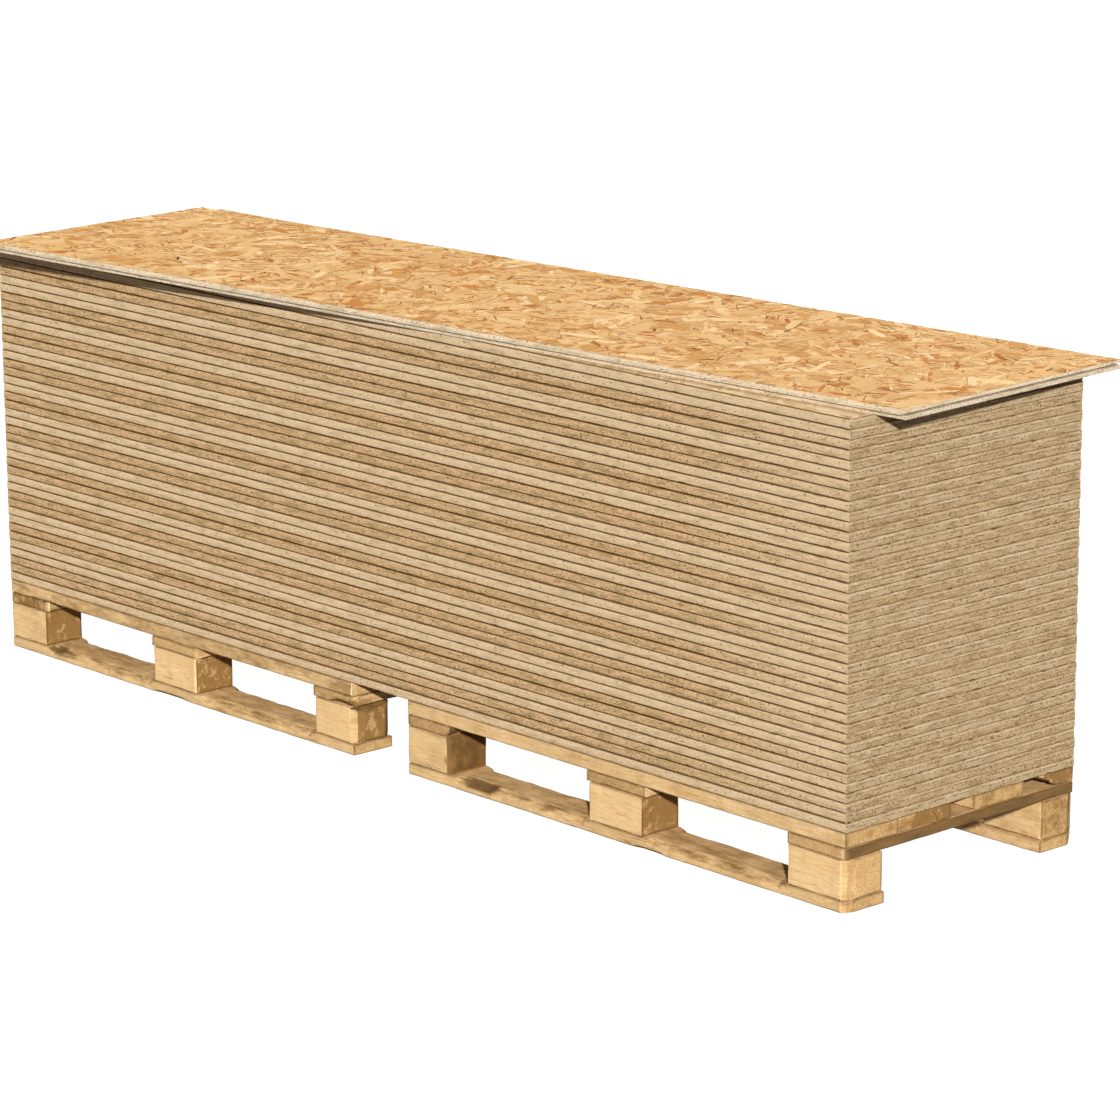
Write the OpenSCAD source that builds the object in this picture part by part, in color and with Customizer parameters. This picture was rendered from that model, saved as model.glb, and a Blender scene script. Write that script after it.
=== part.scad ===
// Stack of OSB panels on two block pallets, with one loose tongue-and-groove panel on top.
// Millimetres. X runs along the panels, Y across them, Z up from the floor.
// The origin is on the floor, under the middle of the whole object's box.

/* [Panels] */
// Number of panels in the flush stack, without the loose one
panel_count = 41; // [10:1:41]
// Length of a panel
panel_l = 2500; // [1800:10:3200]
// Width of a panel
panel_w = 600; // [500:5:1250]
// Thickness of a panel
panel_t = 18; // [12:1:25]
// Most that a panel lies out of line along the stack
stagger_x = 1.5; // [0:0.5:10]
// Most that a panel lies out of line across the stack
stagger_y = 1; // [0:0.5:10]

/* [Loose panel] */
// How far the loose panel is pushed along the stack
loose_shift_x = 54; // [-200:1:200]
// How far the loose panel is pushed across the stack
loose_shift_y = -11; // [-100:1:100]
// How far the loose panel is turned, in degrees
loose_turn = 3.4; // [-10:0.1:10]
// Distance from the panel's top down to its tongue
tongue_drop = 7; // [3:0.5:9]
// Thickness of the tongue at its root
tongue_t = 3.5; // [2:0.5:8]
// How far the tongue stands out
tongue_out = 5.5; // [4:0.5:12]
// How much thinner the tongue's tip is than its root, on each side
tongue_taper = 0.5; // [0:0.1:1]
// Room between the tongue and the groove that it fits
groove_room = 0.3; // [0.1:0.1:1]

/* [Pallets] */
// Free length between the two pallets
pallet_gap = 165; // [40:5:300]
// How much shorter the left pallet is than the right one
pallet_difference = 25; // [0:5:100]
// How far the pallets stand in from each long side of the stack
pallet_inset = 0; // [-50:1:50]
// Thickness of the runners
runner_t = 23; // [16:1:30]
// Thickness of the cross boards
cross_t = 22; // [15:1:30]
// Thickness of the deck boards
deck_t = 29; // [15:1:35]
// Height of the blocks
block_h = 76; // [60:1:100]
// Width of the blocks, across the pallet
block_w = 95; // [70:1:145]
// Length of the blocks at the left end of both pallets
left_block_l = 125; // [80:1:160]
// Length of the blocks in the middle of both pallets
middle_block_l = 145; // [80:1:160]
// Length of the blocks at the left pallet's right end
inner_block_l = 120; // [80:1:160]
// Length of the blocks at the right pallet's right end
right_block_l = 145; // [80:1:160]
// Width of the runners under the blocks
runner_w = 100; // [70:1:145]
// How far the back blocks and runners stand out behind the boards on them
back_row_out = 10; // [0:1:30]
// How far a cross board stands past its block, on a free side
cross_overhang = 6; // [0:1:20]
// Width of the front deck board
deck_w_1 = 135; // [80:1:160]
// Width of the second deck board
deck_w_2 = 134; // [80:1:160]
// Width of the third deck board
deck_w_3 = 137; // [80:1:160]
// Width of the back deck board
deck_w_4 = 80; // [60:1:160]
// Slit between the first two deck boards
deck_slit = 3; // [1:1:20]
// Size along the pallet of the cut on the outer corners at the right pallet's right end
corner_cut_x = 14; // [5:1:40]
// Size across the pallet of that cut
corner_cut_y = 26; // [5:1:40]
// Size along the pallet of the cut on the blocks' outer corners at the left pallet's right end
inner_cut_x = 9; // [5:1:40]
// Size across the pallet of that cut
inner_cut_y = 33; // [5:1:60]
// Height of the slope on the runners' upper edges, between the blocks
runner_slope_h = 12; // [4:1:14]
// Width of the slope on the runners' upper edges, between the blocks
runner_slope_w = 16; // [4:1:30]

/* [Hidden] */
SIDES = ["left", "middle", "right"];
PALLETS = ["left_pallet", "right_pallet"];
ROWS = ["front", "back"];
OSB_COLOUR = [0.80, 0.67, 0.50];
PINE_COLOUR = [0.86, 0.69, 0.46];

function two_digits(k) = k < 10 ? str("0", k) : str(k);
function panel_name(k) = str("panel_", two_digits(k));

// Heights, from the floor up
block_z = runner_t;
cross_z = block_z + block_h;
deck_z = cross_z + cross_t;
pallet_h = deck_z + deck_t;
loose_z = pallet_h + panel_count * panel_t;

// The outer ends of the pallets are flush with the stack
right_pallet_l = (panel_l - pallet_gap + pallet_difference) / 2;
left_pallet_l = right_pallet_l - pallet_difference;
pallet_lengths = [left_pallet_l, right_pallet_l];
pallet_w = panel_w - 2 * pallet_inset;
pallet_x = [-panel_l / 2, panel_l / 2 - right_pallet_l];
deck_widths = [deck_w_1, deck_w_2, deck_w_3, deck_w_4];
deck_gap = (pallet_w - deck_w_1 - deck_w_2 - deck_w_3 - deck_w_4 - deck_slit) / 2;
deck_gaps = [0, deck_slit, deck_gap, deck_gap];
block_lengths = [
    [left_block_l, middle_block_l, inner_block_l],
    [left_block_l, middle_block_l, right_block_l]
];
// Start of each block of a pallet, from that pallet's left end
block_starts = [
    for (p = [0, 1])
        [0, (pallet_lengths[p] - middle_block_l) / 2, pallet_lengths[p] - block_lengths[p][2]]
];

// The groove is the tongue's shape with room all round
tongue_top = panel_t - tongue_drop;
tongue_bottom = tongue_top - tongue_t;
groove_d = tongue_out + groove_room;

function total(list, n) = n < 0 ? 0 : list[n] + total(list, n - 1);
function deck_y(i) = total(deck_gaps, i) + total(deck_widths, i - 1) - pallet_w / 2;

// Each panel lies a little out of line, with no pattern that the eye picks up
function panel_dx(k) = stagger_x * sin(137 * k);
function panel_dy(k) = stagger_y * sin(223 * k + 40);

// Corners of the loose panel's face, and of its layer that carries the tongues
function turned(p) = [
    loose_shift_x + p.x * cos(loose_turn) - p.y * sin(loose_turn),
    loose_shift_y + p.x * sin(loose_turn) + p.y * cos(loose_turn)
];
function rectangle(x0, x1, y0, y1) = [[x0, y0], [x1, y0], [x1, y1], [x0, y1]];
loose_outline = [
    for (p = concat(
        rectangle(-panel_l / 2, panel_l / 2, -panel_w / 2, panel_w / 2),
        rectangle(-panel_l / 2 - tongue_out, panel_l / 2 - groove_d,
                  -panel_w / 2 - tongue_out, panel_w / 2 - groove_d)
    )) turned(p)
];
stack_outline = [
    for (k = [1:panel_count]) for (side = [-1, 1])
        [side * panel_l / 2 + panel_dx(k), side * panel_w / 2 + panel_dy(k)]
];
pallet_outline = [[-panel_l / 2, -pallet_w / 2], [panel_l / 2, pallet_w / 2]];
outline = concat(loose_outline, stack_outline, pallet_outline);
outline_x = [for (p = outline) p.x];
outline_y = [for (p = outline) p.y];
middle_x = (min(outline_x) + max(outline_x)) / 2;
middle_y = (min(outline_y) + max(outline_y)) / 2;

// Moves a piece from the stack's own middle to the object's origin
module placed() {
    translate([-middle_x, -middle_y, 0]) children();
}

// A flush panel of the stack, a plain square-edged board
module panel(k) {
    color(OSB_COLOUR)
    placed()
    translate([panel_dx(k) - panel_l / 2, panel_dy(k) - panel_w / 2, pallet_h + (k - 1) * panel_t])
    cube([panel_l, panel_w, panel_t]);
}

// Section of a tongue-and-groove panel of width w: tongue on the left, groove on the right
module tongue_and_groove(w) {
    groove_low = tongue_bottom - groove_room;
    groove_high = tongue_top + groove_room;
    polygon([
        [-w / 2, 0],
        [w / 2, 0],
        [w / 2, groove_low],
        [w / 2 - groove_d, groove_low + tongue_taper],
        [w / 2 - groove_d, groove_high - tongue_taper],
        [w / 2, groove_high],
        [w / 2, panel_t],
        [-w / 2, panel_t],
        [-w / 2, tongue_top],
        [-w / 2 - tongue_out, tongue_top - tongue_taper],
        [-w / 2 - tongue_out, tongue_bottom + tongue_taper],
        [-w / 2, tongue_bottom]
    ]);
}

// The loose panel: tongues on its front and left edges, grooves on its back and right edges
module loose_panel() {
    reach = 4 * tongue_out;
    color(OSB_COLOUR)
    placed()
    translate([loose_shift_x, loose_shift_y, loose_z])
    rotate([0, 0, loose_turn])
    intersection() {
        rotate([90, 0, 90])
        linear_extrude(panel_l + reach, center = true)
        tongue_and_groove(panel_w);
        rotate([90, 0, 0])
        linear_extrude(panel_w + reach, center = true)
        tongue_and_groove(panel_l);
    }
}

// Plan of a piece at the outside of a pallet's right end, with its outer corner cut off
module cut_plan(l, w, cut_x, cut_y) {
    polygon([[0, 0], [l - cut_x, 0], [l, cut_y], [l, w], [0, w]]);
}

// Puts a piece drawn for the front row into the front or the back row of a pallet
module in_row(row) {
    is_back = row == "back";
    mirror([0, is_back ? 1 : 0, 0])
    translate([0, -pallet_w / 2 - (is_back ? back_row_out : 0), 0])
    children();
}

// A three-sided bar along X that slopes a runner's upper edge off
module slope_cutter(l) {
    rotate([90, 0, 90])
    linear_extrude(l)
    polygon([
        [-1, runner_t - runner_slope_h - runner_slope_h / runner_slope_w],
        [runner_slope_w + 1, runner_t + runner_slope_h / runner_slope_w],
        [-1, runner_t + runner_slope_h / runner_slope_w]
    ]);
}

// A runner: a board on the floor under one row of blocks
module runner(p, row) {
    color(PINE_COLOUR)
    placed()
    translate([pallet_x[p], 0, 0])
    in_row(row)
    difference() {
        linear_extrude(runner_t)
        if (p == 1) cut_plan(pallet_lengths[p], runner_w, corner_cut_x, corner_cut_y);
        else square([pallet_lengths[p], runner_w]);
        for (bay = [0, 1]) {
            bay_start = block_starts[p][bay] + block_lengths[p][bay];
            bay_l = block_starts[p][bay + 1] - bay_start;
            translate([bay_start, 0, 0]) slope_cutter(bay_l);
            translate([bay_start, runner_w, 0]) mirror([0, 1, 0]) slope_cutter(bay_l);
        }
    }
}

// The two blocks of one place along a pallet, one in each row
module block_pair(p, side) {
    l = block_lengths[p][side];
    color(PINE_COLOUR)
    placed()
    for (row = ROWS)
        translate([pallet_x[p] + block_starts[p][side], 0, block_z])
        in_row(row)
        linear_extrude(block_h)
        if (side == 2 && p == 1) cut_plan(l, block_w, corner_cut_x, corner_cut_y);
        else if (side == 2) cut_plan(l, block_w, inner_cut_x, inner_cut_y);
        else square([l, block_w]);
}

// A cross board over a pair of blocks, wider than they are on its free sides
module cross_board(p, side) {
    past_left = side == 0 ? 0 : cross_overhang;
    past_right = side == 2 ? 0 : cross_overhang;
    color(PINE_COLOUR)
    placed()
    translate([pallet_x[p] + block_starts[p][side] - past_left, -pallet_w / 2, cross_z])
    cube([block_lengths[p][side] + past_left + past_right, pallet_w, cross_t]);
}

// The four boards that the panels lie on
module deck_boards(p) {
    color(PINE_COLOUR)
    placed()
    for (i = [0:3])
        translate([pallet_x[p], deck_y(i), deck_z])
        cube([pallet_lengths[p], deck_widths[i], deck_t]);
}

for (p = [0, 1]) {
    for (row = ROWS)
        runner(p, row);
    for (s = [0:2])
        block_pair(p, s);
    for (s = [0:2])
        cross_board(p, s);
    deck_boards(p);
}
for (k = [1:panel_count])
    panel(k);
loose_panel();
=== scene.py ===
import math

import bpy
import numpy as np
from mathutils import Matrix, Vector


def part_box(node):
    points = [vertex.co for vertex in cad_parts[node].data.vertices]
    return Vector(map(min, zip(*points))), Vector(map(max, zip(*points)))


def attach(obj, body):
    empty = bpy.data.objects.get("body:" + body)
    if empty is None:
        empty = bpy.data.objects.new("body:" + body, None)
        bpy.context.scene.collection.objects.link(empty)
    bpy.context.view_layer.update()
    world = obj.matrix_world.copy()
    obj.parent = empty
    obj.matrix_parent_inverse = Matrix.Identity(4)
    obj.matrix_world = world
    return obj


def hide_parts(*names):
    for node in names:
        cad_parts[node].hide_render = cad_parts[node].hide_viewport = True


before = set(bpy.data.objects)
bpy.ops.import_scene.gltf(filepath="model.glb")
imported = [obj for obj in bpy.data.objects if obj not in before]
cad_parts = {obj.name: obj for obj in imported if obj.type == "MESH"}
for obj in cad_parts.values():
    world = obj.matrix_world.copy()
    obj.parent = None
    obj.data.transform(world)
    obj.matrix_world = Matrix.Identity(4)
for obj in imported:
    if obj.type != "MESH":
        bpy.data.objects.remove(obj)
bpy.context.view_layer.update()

MM = 0.001
PANEL_T = 18 * MM
PANEL_NODES = sorted(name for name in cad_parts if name.startswith("panel_"))
LOOSE_NODE = "loose_panel"
PALLETS = ("left_pallet", "right_pallet")
PLACES = ("left", "middle", "right")


# ---------------------------------------------------------------- numbers

# How much light falls on each side, for the colours to look right in it
FRONT_LIGHT = 1.02
END_LIGHT = 1.25
TOP_LIGHT = 1.15


def shown(red, green, blue, light=FRONT_LIGHT):
    """The surface colour that looks like this screen colour, from 0 to 255, under that much light."""
    def one(value):
        value = value / 255
        value = value / 12.92 if value <= 0.04045 else ((value + 0.055) / 1.055) ** 2.4
        return min(1.0, value / light)
    return (one(red), one(green), one(blue), 1.0)


def lattice(cells, seed):
    """A fixed random number from 0 to 1 for every whole-number cell."""
    mixed = cells[..., 0] * 73856093 ^ cells[..., 1] * 19349663 ^ cells[..., 2] * 83492791
    mixed = (mixed ^ seed * 2654435761) & 0xFFFFFFFF
    mixed = ((mixed ^ (mixed >> 15)) * 2246822519) & 0xFFFFFFFF
    mixed = ((mixed ^ (mixed >> 13)) * 3266489917) & 0xFFFFFFFF
    return ((mixed ^ (mixed >> 16)) & 0xFFFFFF) / 0xFFFFFF


def noise(points, size, seed):
    """Smooth noise from 0 to 1 at the points; size is how far apart its bumps are, per axis."""
    scaled = np.asarray(points, float) / np.asarray(size, float)
    cell = np.floor(scaled).astype(np.int64)
    part = scaled - cell
    part = part * part * (3 - 2 * part)
    total = np.zeros(scaled.shape[:-1])
    for corner in np.ndindex(2, 2, 2):
        weight = np.where(corner, part, 1 - part).prod(axis=-1)
        total += weight * lattice(cell + np.array(corner), seed)
    return total


def smoothstep(low, high, value):
    part = np.clip((value - low) / (high - low), 0, 1)
    return part * part * (3 - 2 * part)


# ---------------------------------------------------------------- meshes

def put_in_scene(name, data):
    thing = bpy.data.objects.new(name, data)
    bpy.context.scene.collection.objects.link(thing)
    return thing


def make_mesh(name, points, faces, loop_uv, face_material, materials, smooth=None,
              values=None, colours=None, vectors=None):
    mesh = bpy.data.meshes.new(name)
    mesh.from_pydata([tuple(p) for p in np.asarray(points, float).tolist()], [], faces)
    layer = mesh.uv_layers.new(name="coat")
    layer.data.foreach_set("uv", np.asarray(loop_uv, np.float32).ravel())
    for material in materials:
        mesh.materials.append(material)
    mesh.polygons.foreach_set("material_index", np.asarray(face_material, np.int32))
    if smooth is not None:
        mesh.polygons.foreach_set("use_smooth", np.asarray(smooth, bool))
    for kind, field, store in (("FLOAT", "value", values),
                               ("FLOAT_COLOR", "color", colours),
                               ("FLOAT_VECTOR", "vector", vectors)):
        for key, data in (store or {}).items():
            attribute = mesh.attributes.new(key, kind, "POINT")
            attribute.data.foreach_set(field, np.asarray(data, np.float32).ravel())
    mesh.update()
    return put_in_scene(name, mesh)


def stand_for(piece, node):
    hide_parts(node)
    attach(piece, "root")


# ---------------------------------------------------------------- shader building

class Shader:
    """Builds one node material, with short names for the nodes that are used most."""

    def __init__(self, name):
        self.material = bpy.data.materials.new(name)
        self.material.use_nodes = True
        self.tree = self.material.node_tree
        self.surface = self.tree.nodes["Principled BSDF"]

    def add(self, kind, inputs=None, **settings):
        node = self.tree.nodes.new(kind)
        for key, value in settings.items():
            setattr(node, key, value)
        for key, value in (inputs or {}).items():
            self.feed(node.inputs[key], value)
        return node

    def feed(self, socket, value):
        if isinstance(value, bpy.types.NodeSocket):
            self.tree.links.new(value, socket)
        else:
            socket.default_value = value

    def coat(self):
        return self.add("ShaderNodeUVMap", uv_map="coat").outputs[0]

    def stored(self, name, output="Fac"):
        """What the mesh stores at each point under that name."""
        return self.add("ShaderNodeAttribute", attribute_name=name).outputs[output]

    def math(self, operation, first, second=0.0, third=0.0):
        node = self.add("ShaderNodeMath", {0: first, 1: second, 2: third}, operation=operation)
        return node.outputs[0]

    def times(self, first, second):
        return self.math("MULTIPLY", first, second)

    def stretch(self, vector, scale, offset=(0, 0, 0)):
        node = self.add("ShaderNodeMapping", {"Vector": vector, "Scale": scale, "Location": offset})
        return node.outputs[0]

    def noise(self, vector, scale, detail=2.0, roughness=0.5, distortion=0.0, offset=(0, 0, 0)):
        node = self.add("ShaderNodeTexNoise", {"Vector": self.stretch(vector, scale, offset), "Scale": 1.0,
                                               "Detail": detail, "Roughness": roughness,
                                               "Distortion": distortion})
        return node.outputs[0]

    def cells(self, vector, scale):
        """Distance from the middle of the nearest cell, and that cell's three random numbers."""
        node = self.add("ShaderNodeTexVoronoi", {"Vector": self.stretch(vector, scale), "Scale": 1.0})
        own = self.add("ShaderNodeSeparateColor", {0: node.outputs["Color"]}).outputs
        return node.outputs["Distance"], own

    def span(self, value, low, high, out_low=0.0, out_high=1.0):
        node = self.add("ShaderNodeMapRange", {0: value, 1: low, 2: high, 3: out_low, 4: out_high})
        return node.outputs[0]

    def mix(self, factor, first, second, blend="MIX"):
        node = self.add("ShaderNodeMix", {0: factor, 6: first, 7: second},
                        data_type="RGBA", blend_type=blend)
        return node.outputs[2]

    def tinted(self, factor, colour, tint):
        """The colour, multiplied by the tint as far as the factor says."""
        return self.mix(factor, colour, self.mix(1.0, colour, tint, "MULTIPLY"))

    def ramp(self, value, stops):
        node = self.add("ShaderNodeValToRGB", {0: value})
        ramp = node.color_ramp
        while len(ramp.elements) < len(stops):
            ramp.elements.new(0.5)
        for element, (place, colour) in zip(ramp.elements, stops):
            element.position = place
            element.color = colour
        return node.outputs[0]

    def finish(self, colour, roughness, height=None, distance=0.0005, strength=0.5):
        self.feed(self.surface.inputs["Base Color"], colour)
        self.feed(self.surface.inputs["Roughness"], roughness)
        self.surface.inputs["Specular IOR Level"].default_value = 0.02
        if height is not None:
            bump = self.add("ShaderNodeBump", {"Height": height, "Distance": distance, "Strength": strength})
            self.feed(self.surface.inputs["Normal"], bump.outputs[0])
        return self.material


def grey(value):
    return (value, value, value, 1.0)


def edge_material(name, is_end, pale, mottled, light):
    """A sawn panel edge: short chips, dark voids, and painted shade of the gap between panels along the top
    and bottom arris.
    pale and mottled are the colours of the even panels and of the mottled ones, seen under that light."""
    s = Shader(name)
    uv = s.coat()
    tone = s.stored("tone")
    # How much painted shade of the gap between panels each point has
    arris = s.stored("arris")
    height = s.add("ShaderNodeSeparateXYZ", {0: uv}).outputs[1]
    share = s.math("DIVIDE", height, PANEL_T)

    patch = s.noise(uv, (20, 110, 1), 3.0, 0.65, 0.4)
    chips = s.noise(uv, (200, 450, 1), 3.0, 0.75)
    coarse = s.noise(uv, (95, 300, 1), 2.0, 0.65)
    stops = (0.36, 0.45, 0.53, 0.62)
    even, uneven = [s.ramp(patch, [(p, shown(*c, light)) for p, c in zip(stops, colours)])
                    for colours in (pale, mottled)]
    colour = s.mix(tone, even, uneven)

    strength = s.math("MULTIPLY_ADD", tone, 0.5, 0.6 if is_end else 0.5)
    lean = s.times(s.span(coarse, 0.42, 0.66), strength)
    colour = s.tinted(s.times(lean, 0.5), colour, (0.62, 0.55, 0.46, 1))
    lift = s.times(s.span(chips, 0.48, 0.64), strength)
    colour = s.tinted(s.times(lift, 0.75), colour, (1.22, 1.22, 1.23, 1))
    dip = s.times(s.span(chips, 0.49, 0.36), strength)
    colour = s.tinted(s.times(dip, 0.9), colour, (0.50, 0.41, 0.29, 1))

    away, own = s.cells(uv, (150, 330, 1))
    near = s.span(away, 0.22, 0.46, 1.0, 0.0)
    if is_end:
        chance = s.span(share, 0.72, 0.50, 0.08, 0.26)
    else:
        chance = s.math("MULTIPLY_ADD", tone, 0.20, 0.07)
    dark = s.times(near, s.math("LESS_THAN", own[0], chance))
    colour = s.mix(s.times(dark, 0.7), colour, shown(98, 66, 30, light))

    dots = s.noise(uv, (210, 40, 1), 2.0, 0.6)
    if is_end:
        upper = s.span(share, 0.50, 0.74)
        colour = s.mix(1.0, colour, s.mix(upper, (0.90, 0.89, 0.87, 1), grey(1.03)), "MULTIPLY")
        # A dark line across each sawn end, between half and three quarters of the way up: painted shadow of
        # a groove that the panel has no shape for
        sway = s.noise(uv, (12, 20, 1), 1.0)
        level = s.math("MULTIPLY_ADD", sway, 0.26, 0.50)
        line = s.span(s.math("ABSOLUTE", s.math("SUBTRACT", share, level)), 0.04, 0.10, 1.0, 0.0)
        line = s.times(line, s.span(dots, 0.42, 0.56, 0.0, 0.62))
        colour = s.mix(line, colour, shown(104, 78, 46, light))
        depth = s.times(arris, s.span(dots, 0.60, 0.42, 0.5, 0.95))
    else:
        colour = s.mix(1.0, colour, s.mix(s.span(share, 0.1, 1.0), grey(0.95), grey(1.04)), "MULTIPLY")
        depth = s.times(arris, s.span(tone, 0.0, 1.0, 0.90, 1.0))
    # Painted shade of the gap between panels, darkest on the outer rows at the top and bottom arris
    colour = s.mix(depth, colour, shown(86, 56, 20, light))
    relief = s.math("SUBTRACT", s.math("MULTIPLY_ADD", coarse, 0.5, chips), dark)
    return s.finish(colour, 0.85, relief, 0.8 * MM, 0.7)


def face_material(name):
    """A panel's face: long strands laid over each other in layers, mostly along the panel."""
    s = Shader(name)
    uv = s.coat()
    colour = None
    height = None
    # Turn from the panel's length, and the strands' length and width in mm
    layers = ((0.35, 75, 14), (-0.45, 60, 12), (0.05, 90, 16), (0.9, 50, 10))
    for number, (turn, length, width) in enumerate(layers):
        turned = s.add("ShaderNodeMapping", {"Vector": uv, "Rotation": (0, 0, turn),
                                             "Location": (0.37 * number, 0.61 * number, 0)}).outputs[0]
        own = s.cells(turned, (1000 / length, 1000 / width, 1))[1]
        tint = s.ramp(own[0], [(0.0, shown(176, 132, 90)), (0.10, shown(198, 162, 116)),
                               (0.40, shown(208, 176, 132)), (0.75, shown(216, 186, 144)),
                               (1.0, shown(224, 198, 160))])
        grain = s.noise(turned, (30, 700, 1), 2.0, 0.6)
        tint = s.mix(s.span(grain, 0.3, 0.7), s.mix(1.0, tint, grey(0.86), "MULTIPLY"), tint)
        if colour is None:
            colour = tint
            height = own[1]
        else:
            over = s.math("GREATER_THAN", own[1], 0.55)
            colour = s.mix(over, colour, tint)
            height = s.math("MAXIMUM", height, s.times(over, own[2]))
    return s.finish(colour, 0.7, height, 0.4 * MM, 0.4)


def strand_material(name):
    """One strand's own colour, with fine lengthwise grain."""
    s = Shader(name)
    uv = s.coat()
    own = s.stored("strand", "Color")
    grain = s.noise(uv, (25, 600, 1), 3.0, 0.6)
    spots = s.noise(uv, (60, 160, 1), 2.0, 0.5)
    colour = s.mix(s.span(grain, 0.3, 0.7), s.mix(1.0, own, (0.86, 0.81, 0.71, 1), "MULTIPLY"), own)
    colour = s.mix(s.span(spots, 0.60, 0.74, 0.0, 0.45), colour, shown(176, 112, 50, TOP_LIGHT))
    return s.finish(colour, 0.6, grain, 0.15 * MM, 0.4)


def pine_material(name):
    """Rough-sawn pine: yearly rings round a pith, knots, cracks, staining, darker edges, bark and fresh
    cuts; both the staining and the bark colour also paint shade on some sides.
    """
    s = Shader(name)
    grain = s.stored("grain", "Vector")
    stain_and_shade, edge, end, fresh, bark_and_shade = [s.stored(key) for key in ("stain_and_shade", "edge", "end", "fresh", "bark_and_shade")]
    wander = s.noise(grain, (3.0, 22, 22), 4.0, 0.6)
    parts = s.add("ShaderNodeSeparateXYZ", {0: grain})
    away = s.math("SQRT", s.math("ADD", s.math("POWER", parts.outputs[1], 2.0),
                                 s.math("POWER", parts.outputs[2], 2.0)))
    rings = s.math("ADD", s.times(away, 1 / (6.5 * MM)), s.times(wander, 9.0))
    phase = s.math("FRACT", rings)
    base = s.ramp(phase, [(0.0, shown(240, 205, 153)), (0.55, shown(236, 199, 146)),
                          (0.88, shown(224, 181, 124)), (1.0, shown(238, 202, 149))])
    broad = s.noise(grain, (9, 32, 32), 3.0, 0.6)
    base = s.mix(s.span(broad, 0.4, 0.7, 0.0, 0.5), base, shown(220, 178, 120))
    bands = s.noise(grain, (45, 6, 6), 2.0, 0.6)
    base = s.mix(s.span(bands, 0.45, 0.7, 0.0, 0.35), base, shown(212, 168, 110))
    fibre = s.noise(grain, (60, 900, 900), 2.0, 0.6)
    base = s.mix(s.span(fibre, 0.3, 0.7), s.mix(1.0, base, grey(0.88), "MULTIPLY"), base)

    pores = s.noise(grain, (300, 300, 300), 2.0, 0.7)
    pitted = s.mix(s.span(pores, 0.35, 0.65), (0.64, 0.58, 0.49, 1), (0.90, 0.88, 0.85, 1))
    sawn = s.mix(1.0, base, pitted, "MULTIPLY")
    base = s.mix(end, base, sawn)

    from_knot, own = s.cells(grain, (5.5, 13, 13))
    knot = s.times(s.span(from_knot, 0.07, 0.16, 1.0, 0.0), s.math("LESS_THAN", own[0], 0.14))
    base = s.mix(s.times(knot, 0.6), base, shown(150, 98, 48))

    # Darker in blotches by each point's stain amount, which on some sides also paints shade
    darkening = s.noise(grain, (14, 40, 40), 6.0, 0.72, offset=(4, 2, 1))
    stained_and_shaded = s.times(s.span(darkening, 0.40, 0.62, 0.18, 1.0), stain_and_shade)
    base = s.mix(stained_and_shaded, base, shown(138, 104, 60))
    specks = s.noise(grain, (120, 300, 300), 2.0, 0.6)
    speck = s.times(s.span(specks, 0.62, 0.72), s.math("MULTIPLY_ADD", stain_and_shade, 0.7, 0.1))
    base = s.mix(speck, base, shown(112, 76, 36))

    split = s.noise(grain, (6, 110, 110), 2.0, 0.5, 0.4, offset=(9, 7, 3))
    crack = s.span(s.math("ABSOLUTE", s.math("SUBTRACT", split, 0.5)), 0.0, 0.014, 1.0, 0.0)
    allowed = s.span(s.noise(grain, (7, 22, 22), 1.0, offset=(1, 8, 5)), 0.54, 0.60)
    crack = s.times(crack, allowed)
    base = s.mix(s.times(crack, 0.65), base, shown(104, 68, 32))

    base = s.mix(s.times(fresh, 0.8), base, shown(246, 214, 160))
    # The bark colour, also used as painted shade on one block's right side
    bark_and_shade_colour = s.mix(s.span(darkening, 0.35, 0.65), shown(74, 52, 28), shown(124, 91, 51))
    base = s.mix(s.times(bark_and_shade, 0.9), base, bark_and_shade_colour)
    # Darker along every uncut edge of each piece
    edge_darkening = s.times(edge, s.span(broad, 0.25, 0.65, 0.35, 0.85))
    base = s.mix(edge_darkening, base, shown(92, 62, 28))

    height = s.math("SUBTRACT", s.math("MULTIPLY_ADD", fibre, 0.6, s.times(phase, 0.4)),
                    s.times(crack, 1.5))
    return s.finish(base, 0.8, height, 0.6 * MM, 0.5)


# Colours of the edges from the darkest patches to the lightest, for even and for mottled panels
LONG_EDGE = edge_material("osb_long_edge", False,
                          ((196, 170, 131), (208, 181, 142), (214, 187, 149), (218, 190, 153)),
                          ((170, 143, 100), (188, 158, 114), (202, 167, 124), (209, 171, 130)), FRONT_LIGHT)
SHORT_EDGE = edge_material("osb_short_edge", True,
                           ((181, 158, 119), (197, 172, 133), (206, 181, 143), (211, 188, 153)),
                           ((174, 148, 108), (191, 164, 124), (200, 172, 133), (208, 181, 143)), END_LIGHT)
LOOSE_EDGE = edge_material("osb_loose_edge", False,
                           ((200, 182, 152), (212, 195, 166), (218, 202, 176), (222, 206, 182)),
                           ((186, 168, 136), (204, 186, 156), (212, 194, 166), (218, 200, 174)), FRONT_LIGHT)
FACE = face_material("osb_face")
STRAND = strand_material("osb_strand")
PINE = pine_material("pallet_pine")


# ---------------------------------------------------------------- panels

COLUMN_STEP = 10 * MM
FADE_FROM = 0.75
FADE_TO = 1.2
SIDE_OUTWARD = ((0, -1), (1, 0), (0, 1), (-1, 0))
# How mottled the pale and the darker panels are, from 0 to 1
PALE_TONE = 0.08
DARKER_TONE = 0.95
# The same for the sawn ends, as a share of the long sides
END_TONE = 0.55
CORNER_ARRIS = 0.9 * MM
ARRIS_HOLD = 0.5 * MM


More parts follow.
